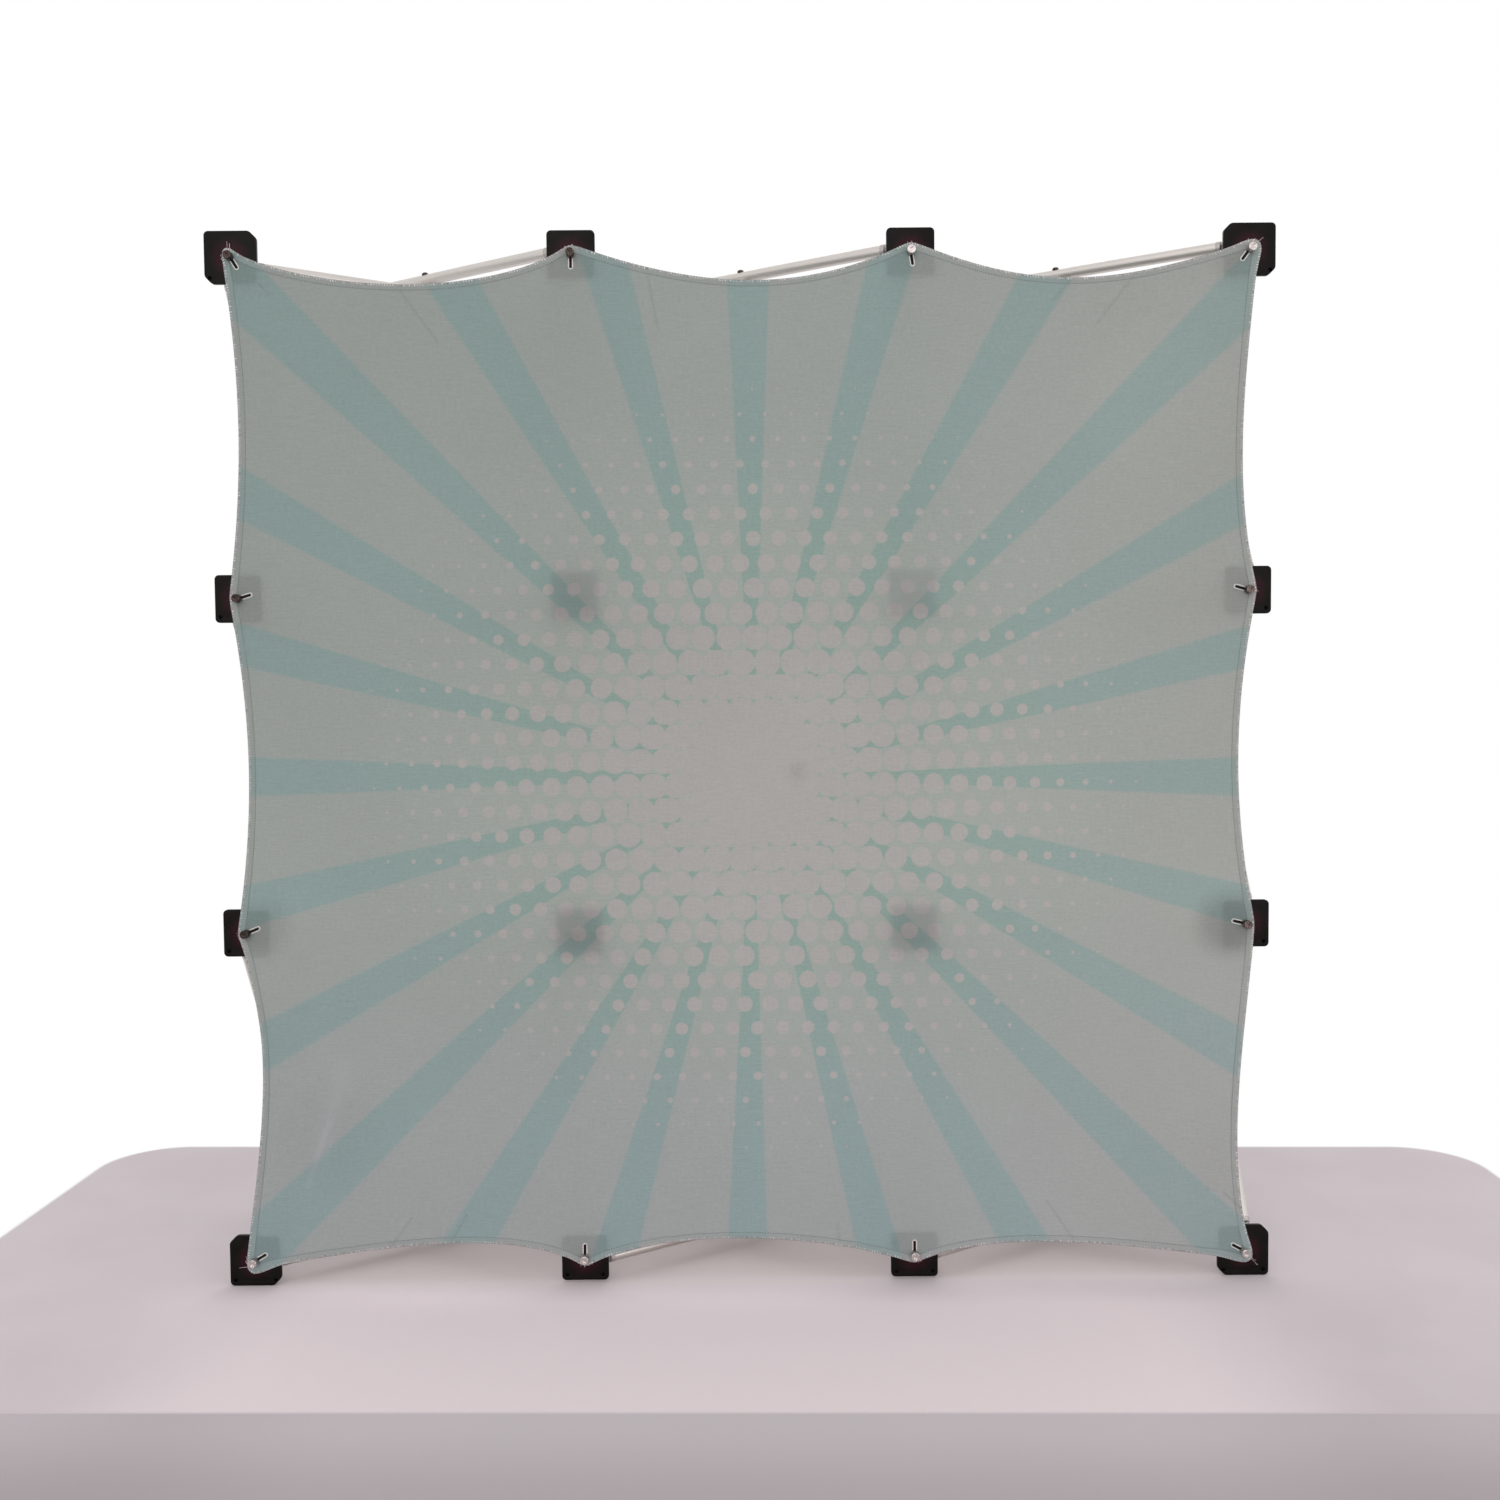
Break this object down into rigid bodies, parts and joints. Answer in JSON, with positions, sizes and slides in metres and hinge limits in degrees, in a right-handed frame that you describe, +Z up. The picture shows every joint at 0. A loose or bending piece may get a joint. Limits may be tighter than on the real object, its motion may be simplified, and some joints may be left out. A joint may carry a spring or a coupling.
{
  "type": "pop-up backwall display",
  "caption": "Table-top pop-up backwall: a square folding scissor frame of tubes and hubs with a stretch graphic buttoned over its front studs.",
  "frame": {"origin": "centre of the footprint, on the surface that the frame stands on", "axes": "+Z up, the graphic faces -Y, +X to the right as seen from the front"},
  "size_m": [1.025, 0.2368, 1.025],
  "materials": {
    "hub_plastic": "satin",
    "tube_aluminium": "satin",
    "graphic_fabric": "matte",
    "stud_steel": "satin"
  },
  "bodies": {
    "base": {"front_hub_b1": "hub_plastic", "graphic_panel": "graphic_fabric", "inner_scissors": "tube_aluminium"},
    "level_tube_bc1_out": {"level_tube_bc1_out": "tube_aluminium"},
    "level_tube_ab1_in": {"level_tube_ab1_in": "tube_aluminium"},
    "rear_hub_c1": {"rear_hub_c1": "hub_plastic"},
    "level_tube_bc1_in": {"level_tube_bc1_in": "tube_aluminium"},
    "rear_hub_a1": {"rear_hub_a1": "hub_plastic"},
    "level_tube_ab1_out": {"level_tube_ab1_out": "tube_aluminium"},
    "level_tube_cd1_in": {"level_tube_cd1_in": "tube_aluminium"},
    "rear_hub_b1": {"rear_hub_b1": "hub_plastic"},
    "front_hub_c1": {"front_hub_c1": "hub_plastic"},
    "upright_tube_a12_in": {"upright_tube_a12_in": "tube_aluminium"},
    "front_hub_a1": {"front_hub_a1": "hub_plastic"},
    "front_hub_d1": {"front_hub_d1": "hub_plastic"},
    "level_tube_cd1_out": {"level_tube_cd1_out": "tube_aluminium"},
    "upright_tube_b12_in": {"upright_tube_b12_in": "tube_aluminium"},
    "front_hub_a2": {"front_hub_a2": "hub_plastic"},
    "upright_tube_a12_out": {"upright_tube_a12_out": "tube_aluminium"},
    "upright_tube_d12_out": {"upright_tube_d12_out": "tube_aluminium"},
    "rear_hub_d1": {"rear_hub_d1": "hub_plastic"},
    "front_hub_b2": {"front_hub_b2": "hub_plastic"},
    "upright_tube_a23_out": {"upright_tube_a23_out": "tube_aluminium"},
    "rear_hub_a2": {"rear_hub_a2": "hub_plastic"},
    "rear_hub_d2": {"rear_hub_d2": "hub_plastic"},
    "upright_tube_d12_in": {"upright_tube_d12_in": "tube_aluminium"},
    "rear_hub_a3": {"rear_hub_a3": "hub_plastic"},
    "upright_tube_a23_in": {"upright_tube_a23_in": "tube_aluminium"},
    "upright_tube_d23_in": {"upright_tube_d23_in": "tube_aluminium"},
    "level_tube_cd2_out": {"level_tube_cd2_out": "tube_aluminium"},
    "front_hub_d2": {"front_hub_d2": "hub_plastic"},
    "upright_tube_a34_in": {"upright_tube_a34_in": "tube_aluminium"},
    "level_tube_ab3_in": {"level_tube_ab3_in": "tube_aluminium"},
    "front_hub_a3": {"front_hub_a3": "hub_plastic"},
    "front_hub_d3": {"front_hub_d3": "hub_plastic"},
    "upright_tube_d23_out": {"upright_tube_d23_out": "tube_aluminium"},
    "front_hub_c2": {"front_hub_c2": "hub_plastic"},
    "front_hub_a4": {"front_hub_a4": "hub_plastic"},
    "upright_tube_a34_out": {"upright_tube_a34_out": "tube_aluminium"},
    "front_hub_b3": {"front_hub_b3": "hub_plastic"},
    "upright_tube_d34_out": {"upright_tube_d34_out": "tube_aluminium"},
    "rear_hub_d3": {"rear_hub_d3": "hub_plastic"},
    "level_tube_ab4_out": {"level_tube_ab4_out": "tube_aluminium"},
    "rear_hub_a4": {"rear_hub_a4": "hub_plastic"},
    "rear_hub_d4": {"rear_hub_d4": "hub_plastic"},
    "upright_tube_d34_in": {"upright_tube_d34_in": "tube_aluminium"},
    "rear_hub_b4": {"rear_hub_b4": "hub_plastic"},
    "level_tube_ab4_in": {"level_tube_ab4_in": "tube_aluminium"},
    "level_tube_cd4_out": {"level_tube_cd4_out": "tube_aluminium"},
    "front_hub_d4": {"front_hub_d4": "hub_plastic"},
    "level_tube_bc4_in": {"level_tube_bc4_in": "tube_aluminium"},
    "front_hub_b4": {"front_hub_b4": "hub_plastic"},
    "front_hub_c4": {"front_hub_c4": "hub_plastic"},
    "level_tube_cd4_in": {"level_tube_cd4_in": "tube_aluminium"},
    "level_tube_bc4_out": {"level_tube_bc4_out": "tube_aluminium"},
    "rear_hub_c4": {"rear_hub_c4": "hub_plastic"},
    "upright_tube_c34_out": {"upright_tube_c34_out": "tube_aluminium"},
    "front_hub_c3": {"front_hub_c3": "hub_plastic"}
  },
  "joints": [
    {"name": "fold", "type": "hinge", "parent": "base", "child": "level_tube_bc1_out", "pos_m": [-0.1485, -0.0941, 0.0185], "axis": [0, 0, 1], "range_deg": [0, 52], "deforming": ["graphic_panel", "inner_scissors"]},
    {"name": "turn_level_tube_ab1_in", "type": "hinge", "parent": "base", "child": "level_tube_ab1_in", "pos_m": [-0.1765, -0.0941, 0.0315], "axis": [0, 0, -1], "range_deg": [0, 52]},
    {"name": "turn_rear_hub_c1", "type": "hinge", "parent": "level_tube_bc1_out", "child": "rear_hub_c1", "pos_m": [0.1485, 0.1059, 0.0185], "axis": [0, 0, -1], "range_deg": [0, 52]},
    {"name": "turn_level_tube_bc1_in", "type": "hinge", "parent": "level_tube_bc1_out", "child": "level_tube_bc1_in", "pos_m": [0, 0.0059, 0.0185], "axis": [0, 0, -1], "range_deg": [0, 104]},
    {"name": "turn_rear_hub_a1", "type": "hinge", "parent": "level_tube_ab1_in", "child": "rear_hub_a1", "pos_m": [-0.4735, 0.1059, 0.0315], "axis": [0, 0, 1], "range_deg": [0, 52]},
    {"name": "turn_level_tube_ab1_out", "type": "hinge", "parent": "level_tube_ab1_in", "child": "level_tube_ab1_out", "pos_m": [-0.325, 0.0059, 0.0185], "axis": [0, 0, 1], "range_deg": [0, 104]},
    {"name": "turn_level_tube_cd1_in", "type": "hinge", "parent": "rear_hub_c1", "child": "level_tube_cd1_in", "pos_m": [0.1765, 0.1059, 0.0315], "axis": [0, 0, -1], "range_deg": [0, 52]},
    {"name": "turn_rear_hub_b1", "type": "hinge", "parent": "level_tube_bc1_in", "child": "rear_hub_b1", "pos_m": [-0.1485, 0.1059, 0.0315], "axis": [0, 0, 1], "range_deg": [0, 52]},
    {"name": "turn_front_hub_c1", "type": "hinge", "parent": "level_tube_bc1_in", "child": "front_hub_c1", "pos_m": [0.1485, -0.0941, 0.0315], "axis": [0, 0, 1], "range_deg": [0, 52]},
    {"name": "turn_upright_tube_a12_in", "type": "hinge", "parent": "rear_hub_a1", "child": "upright_tube_a12_in", "pos_m": [-0.494, 0.1059, 0.039], "axis": [1, 0, 0], "range_deg": [0, 52]},
    {"name": "turn_front_hub_a1", "type": "hinge", "parent": "level_tube_ab1_out", "child": "front_hub_a1", "pos_m": [-0.4735, -0.0941, 0.0185], "axis": [0, 0, -1], "range_deg": [0, 52]},
    {"name": "turn_front_hub_d1", "type": "hinge", "parent": "level_tube_cd1_in", "child": "front_hub_d1", "pos_m": [0.4735, -0.0941, 0.0315], "axis": [0, 0, 1], "range_deg": [0, 52]},
    {"name": "turn_level_tube_cd1_out", "type": "hinge", "parent": "level_tube_cd1_in", "child": "level_tube_cd1_out", "pos_m": [0.325, 0.0059, 0.0185], "axis": [0, 0, 1], "range_deg": [0, 104]},
    {"name": "turn_upright_tube_b12_in", "type": "hinge", "parent": "rear_hub_b1", "child": "upright_tube_b12_in", "pos_m": [-0.169, 0.1059, 0.039], "axis": [1, 0, 0], "range_deg": [0, 52]},
    {"name": "turn_front_hub_a2", "type": "hinge", "parent": "upright_tube_a12_in", "child": "front_hub_a2", "pos_m": [-0.494, -0.0941, 0.336], "axis": [-1, 0, 0], "range_deg": [0, 52]},
    {"name": "turn_upright_tube_a12_out", "type": "hinge", "parent": "upright_tube_a12_in", "child": "upright_tube_a12_out", "pos_m": [-0.481, 0.0059, 0.1875], "axis": [-1, 0, 0], "range_deg": [0, 104]},
    {"name": "turn_upright_tube_d12_out", "type": "hinge", "parent": "front_hub_d1", "child": "upright_tube_d12_out", "pos_m": [0.494, -0.0941, 0.039], "axis": [-1, 0, 0], "range_deg": [0, 52]},
    {"name": "turn_rear_hub_d1", "type": "hinge", "parent": "level_tube_cd1_out", "child": "rear_hub_d1", "pos_m": [0.4735, 0.1059, 0.0185], "axis": [0, 0, -1], "range_deg": [0, 52]},
    {"name": "turn_front_hub_b2", "type": "hinge", "parent": "upright_tube_b12_in", "child": "front_hub_b2", "pos_m": [-0.169, -0.0941, 0.336], "axis": [-1, 0, 0], "range_deg": [0, 52]},
    {"name": "turn_upright_tube_a23_out", "type": "hinge", "parent": "front_hub_a2", "child": "upright_tube_a23_out", "pos_m": [-0.481, -0.0941, 0.364], "axis": [-1, 0, 0], "range_deg": [0, 52]},
    {"name": "turn_rear_hub_a2", "type": "hinge", "parent": "upright_tube_a12_out", "child": "rear_hub_a2", "pos_m": [-0.481, 0.1059, 0.336], "axis": [1, 0, 0], "range_deg": [0, 52]},
    {"name": "turn_rear_hub_d2", "type": "hinge", "parent": "upright_tube_d12_out", "child": "rear_hub_d2", "pos_m": [0.494, 0.1059, 0.336], "axis": [1, 0, 0], "range_deg": [0, 52]},
    {"name": "turn_upright_tube_d12_in", "type": "hinge", "parent": "upright_tube_d12_out", "child": "upright_tube_d12_in", "pos_m": [0.494, 0.0059, 0.1875], "axis": [1, 0, 0], "range_deg": [0, 104]},
    {"name": "turn_rear_hub_a3", "type": "hinge", "parent": "upright_tube_a23_out", "child": "rear_hub_a3", "pos_m": [-0.481, 0.1059, 0.661], "axis": [1, 0, 0], "range_deg": [0, 52]},
    {"name": "turn_upright_tube_a23_in", "type": "hinge", "parent": "upright_tube_a23_out", "child": "upright_tube_a23_in", "pos_m": [-0.481, 0.0059, 0.5125], "axis": [1, 0, 0], "range_deg": [0, 104]},
    {"name": "turn_upright_tube_d23_in", "type": "hinge", "parent": "rear_hub_d2", "child": "upright_tube_d23_in", "pos_m": [0.481, 0.1059, 0.364], "axis": [1, 0, 0], "range_deg": [0, 52]},
    {"name": "turn_level_tube_cd2_out", "type": "hinge", "parent": "rear_hub_d2", "child": "level_tube_cd2_out", "pos_m": [0.4735, 0.1059, 0.3435], "axis": [0, 0, 1], "range_deg": [0, 52]},
    {"name": "turn_front_hub_d2", "type": "hinge", "parent": "upright_tube_d12_in", "child": "front_hub_d2", "pos_m": [0.481, -0.0941, 0.336], "axis": [-1, 0, 0], "range_deg": [0, 52]},
    {"name": "turn_upright_tube_a34_in", "type": "hinge", "parent": "rear_hub_a3", "child": "upright_tube_a34_in", "pos_m": [-0.494, 0.1059, 0.689], "axis": [1, 0, 0], "range_deg": [0, 52]},
    {"name": "turn_level_tube_ab3_in", "type": "hinge", "parent": "rear_hub_a3", "child": "level_tube_ab3_in", "pos_m": [-0.4735, 0.1059, 0.6815], "axis": [0, 0, -1], "range_deg": [0, 52]},
    {"name": "turn_front_hub_a3", "type": "hinge", "parent": "upright_tube_a23_in", "child": "front_hub_a3", "pos_m": [-0.494, -0.0941, 0.661], "axis": [-1, 0, 0], "range_deg": [0, 52]},
    {"name": "turn_front_hub_d3", "type": "hinge", "parent": "upright_tube_d23_in", "child": "front_hub_d3", "pos_m": [0.481, -0.0941, 0.661], "axis": [-1, 0, 0], "range_deg": [0, 52]},
    {"name": "turn_upright_tube_d23_out", "type": "hinge", "parent": "upright_tube_d23_in", "child": "upright_tube_d23_out", "pos_m": [0.494, 0.0059, 0.5125], "axis": [-1, 0, 0], "range_deg": [0, 104]},
    {"name": "turn_front_hub_c2", "type": "hinge", "parent": "level_tube_cd2_out", "child": "front_hub_c2", "pos_m": [0.1765, -0.0941, 0.3435], "axis": [0, 0, -1], "range_deg": [0, 52]},
    {"name": "turn_front_hub_a4", "type": "hinge", "parent": "upright_tube_a34_in", "child": "front_hub_a4", "pos_m": [-0.494, -0.0941, 0.986], "axis": [-1, 0, 0], "range_deg": [0, 52]},
    {"name": "turn_upright_tube_a34_out", "type": "hinge", "parent": "upright_tube_a34_in", "child": "upright_tube_a34_out", "pos_m": [-0.481, 0.0059, 0.8375], "axis": [-1, 0, 0], "range_deg": [0, 104]},
    {"name": "turn_front_hub_b3", "type": "hinge", "parent": "level_tube_ab3_in", "child": "front_hub_b3", "pos_m": [-0.1765, -0.0941, 0.6815], "axis": [0, 0, 1], "range_deg": [0, 52]},
    {"name": "turn_upright_tube_d34_out", "type": "hinge", "parent": "front_hub_d3", "child": "upright_tube_d34_out", "pos_m": [0.494, -0.0941, 0.689], "axis": [-1, 0, 0], "range_deg": [0, 52]},
    {"name": "turn_rear_hub_d3", "type": "hinge", "parent": "upright_tube_d23_out", "child": "rear_hub_d3", "pos_m": [0.494, 0.1059, 0.661], "axis": [1, 0, 0], "range_deg": [0, 52]},
    {"name": "turn_level_tube_ab4_out", "type": "hinge", "parent": "front_hub_a4", "child": "level_tube_ab4_out", "pos_m": [-0.4735, -0.0941, 0.9935], "axis": [0, 0, 1], "range_deg": [0, 52]},
    {"name": "turn_rear_hub_a4", "type": "hinge", "parent": "upright_tube_a34_out", "child": "rear_hub_a4", "pos_m": [-0.481, 0.1059, 0.986], "axis": [1, 0, 0], "range_deg": [0, 52]},
    {"name": "turn_rear_hub_d4", "type": "hinge", "parent": "upright_tube_d34_out", "child": "rear_hub_d4", "pos_m": [0.494, 0.1059, 0.986], "axis": [1, 0, 0], "range_deg": [0, 52]},
    {"name": "turn_upright_tube_d34_in", "type": "hinge", "parent": "upright_tube_d34_out", "child": "upright_tube_d34_in", "pos_m": [0.494, 0.0059, 0.8375], "axis": [1, 0, 0], "range_deg": [0, 104]},
    {"name": "turn_rear_hub_b4", "type": "hinge", "parent": "level_tube_ab4_out", "child": "rear_hub_b4", "pos_m": [-0.1765, 0.1059, 0.9935], "axis": [0, 0, -1], "range_deg": [0, 52]},
    {"name": "turn_level_tube_ab4_in", "type": "hinge", "parent": "level_tube_ab4_out", "child": "level_tube_ab4_in", "pos_m": [-0.325, 0.0059, 0.9935], "axis": [0, 0, -1], "range_deg": [0, 104]},
    {"name": "turn_level_tube_cd4_out", "type": "hinge", "parent": "rear_hub_d4", "child": "level_tube_cd4_out", "pos_m": [0.4735, 0.1059, 0.9935], "axis": [0, 0, 1], "range_deg": [0, 52]},
    {"name": "turn_front_hub_d4", "type": "hinge", "parent": "upright_tube_d34_in", "child": "front_hub_d4", "pos_m": [0.481, -0.0941, 0.986], "axis": [-1, 0, 0], "range_deg": [0, 52]},
    {"name": "turn_level_tube_bc4_in", "type": "hinge", "parent": "rear_hub_b4", "child": "level_tube_bc4_in", "pos_m": [-0.1485, 0.1059, 1.0065], "axis": [0, 0, -1], "range_deg": [0, 52]},
    {"name": "turn_front_hub_b4", "type": "hinge", "parent": "level_tube_ab4_in", "child": "front_hub_b4", "pos_m": [-0.1765, -0.0941, 1.0065], "axis": [0, 0, 1], "range_deg": [0, 52]},
    {"name": "turn_front_hub_c4", "type": "hinge", "parent": "level_tube_cd4_out", "child": "front_hub_c4", "pos_m": [0.1765, -0.0941, 0.9935], "axis": [0, 0, -1], "range_deg": [0, 52]},
    {"name": "turn_level_tube_cd4_in", "type": "hinge", "parent": "level_tube_cd4_out", "child": "level_tube_cd4_in", "pos_m": [0.325, 0.0059, 0.9935], "axis": [0, 0, -1], "range_deg": [0, 104]},
    {"name": "turn_level_tube_bc4_out", "type": "hinge", "parent": "level_tube_bc4_in", "child": "level_tube_bc4_out", "pos_m": [0, 0.0059, 0.9935], "axis": [0, 0, 1], "range_deg": [0, 104]},
    {"name": "turn_rear_hub_c4", "type": "hinge", "parent": "level_tube_cd4_in", "child": "rear_hub_c4", "pos_m": [0.1765, 0.1059, 1.0065], "axis": [0, 0, 1], "range_deg": [0, 52]},
    {"name": "turn_upright_tube_c34_out", "type": "hinge", "parent": "rear_hub_c4", "child": "upright_tube_c34_out", "pos_m": [0.169, 0.1059, 0.986], "axis": [-1, 0, 0], "range_deg": [0, 52]},
    {"name": "turn_front_hub_c3", "type": "hinge", "parent": "upright_tube_c34_out", "child": "front_hub_c3", "pos_m": [0.169, -0.0941, 0.689], "axis": [1, 0, 0], "range_deg": [0, 52]}
  ],
  "couplings": [
    {"joint": "turn_level_tube_ab1_in", "follows": "fold", "ratio": 1},
    {"joint": "turn_rear_hub_c1", "follows": "fold", "ratio": 1},
    {"joint": "turn_level_tube_bc1_in", "follows": "fold", "ratio": 2},
    {"joint": "turn_rear_hub_a1", "follows": "fold", "ratio": 1},
    {"joint": "turn_level_tube_ab1_out", "follows": "fold", "ratio": 2},
    {"joint": "turn_level_tube_cd1_in", "follows": "fold", "ratio": 1},
    {"joint": "turn_rear_hub_b1", "follows": "fold", "ratio": 1},
    {"joint": "turn_front_hub_c1", "follows": "fold", "ratio": 1},
    {"joint": "turn_upright_tube_a12_in", "follows": "fold", "ratio": 1},
    {"joint": "turn_front_hub_a1", "follows": "fold", "ratio": 1},
    {"joint": "turn_front_hub_d1", "follows": "fold", "ratio": 1},
    {"joint": "turn_level_tube_cd1_out", "follows": "fold", "ratio": 2},
    {"joint": "turn_upright_tube_b12_in", "follows": "fold", "ratio": 1},
    {"joint": "turn_front_hub_a2", "follows": "fold", "ratio": 1},
    {"joint": "turn_upright_tube_a12_out", "follows": "fold", "ratio": 2},
    {"joint": "turn_upright_tube_d12_out", "follows": "fold", "ratio": 1},
    {"joint": "turn_rear_hub_d1", "follows": "fold", "ratio": 1},
    {"joint": "turn_front_hub_b2", "follows": "fold", "ratio": 1},
    {"joint": "turn_upright_tube_a23_out", "follows": "fold", "ratio": 1},
    {"joint": "turn_rear_hub_a2", "follows": "fold", "ratio": 1},
    {"joint": "turn_rear_hub_d2", "follows": "fold", "ratio": 1},
    {"joint": "turn_upright_tube_d12_in", "follows": "fold", "ratio": 2},
    {"joint": "turn_rear_hub_a3", "follows": "fold", "ratio": 1},
    {"joint": "turn_upright_tube_a23_in", "follows": "fold", "ratio": 2},
    {"joint": "turn_upright_tube_d23_in", "follows": "fold", "ratio": 1},
    {"joint": "turn_level_tube_cd2_out", "follows": "fold", "ratio": 1},
    {"joint": "turn_front_hub_d2", "follows": "fold", "ratio": 1},
    {"joint": "turn_upright_tube_a34_in", "follows": "fold", "ratio": 1},
    {"joint": "turn_level_tube_ab3_in", "follows": "fold", "ratio": 1},
    {"joint": "turn_front_hub_a3", "follows": "fold", "ratio": 1},
    {"joint": "turn_front_hub_d3", "follows": "fold", "ratio": 1},
    {"joint": "turn_upright_tube_d23_out", "follows": "fold", "ratio": 2},
    {"joint": "turn_front_hub_c2", "follows": "fold", "ratio": 1},
    {"joint": "turn_front_hub_a4", "follows": "fold", "ratio": 1},
    {"joint": "turn_upright_tube_a34_out", "follows": "fold", "ratio": 2},
    {"joint": "turn_front_hub_b3", "follows": "fold", "ratio": 1},
    {"joint": "turn_upright_tube_d34_out", "follows": "fold", "ratio": 1},
    {"joint": "turn_rear_hub_d3", "follows": "fold", "ratio": 1},
    {"joint": "turn_level_tube_ab4_out", "follows": "fold", "ratio": 1},
    {"joint": "turn_rear_hub_a4", "follows": "fold", "ratio": 1},
    {"joint": "turn_rear_hub_d4", "follows": "fold", "ratio": 1},
    {"joint": "turn_upright_tube_d34_in", "follows": "fold", "ratio": 2},
    {"joint": "turn_rear_hub_b4", "follows": "fold", "ratio": 1},
    {"joint": "turn_level_tube_ab4_in", "follows": "fold", "ratio": 2},
    {"joint": "turn_level_tube_cd4_out", "follows": "fold", "ratio": 1},
    {"joint": "turn_front_hub_d4", "follows": "fold", "ratio": 1},
    {"joint": "turn_level_tube_bc4_in", "follows": "fold", "ratio": 1},
    {"joint": "turn_front_hub_b4", "follows": "fold", "ratio": 1},
    {"joint": "turn_front_hub_c4", "follows": "fold", "ratio": 1},
    {"joint": "turn_level_tube_cd4_in", "follows": "fold", "ratio": 2},
    {"joint": "turn_level_tube_bc4_out", "follows": "fold", "ratio": 2},
    {"joint": "turn_rear_hub_c4", "follows": "fold", "ratio": 1},
    {"joint": "turn_upright_tube_c34_out", "follows": "fold", "ratio": 1},
    {"joint": "turn_front_hub_c3", "follows": "fold", "ratio": 1}
  ]
}
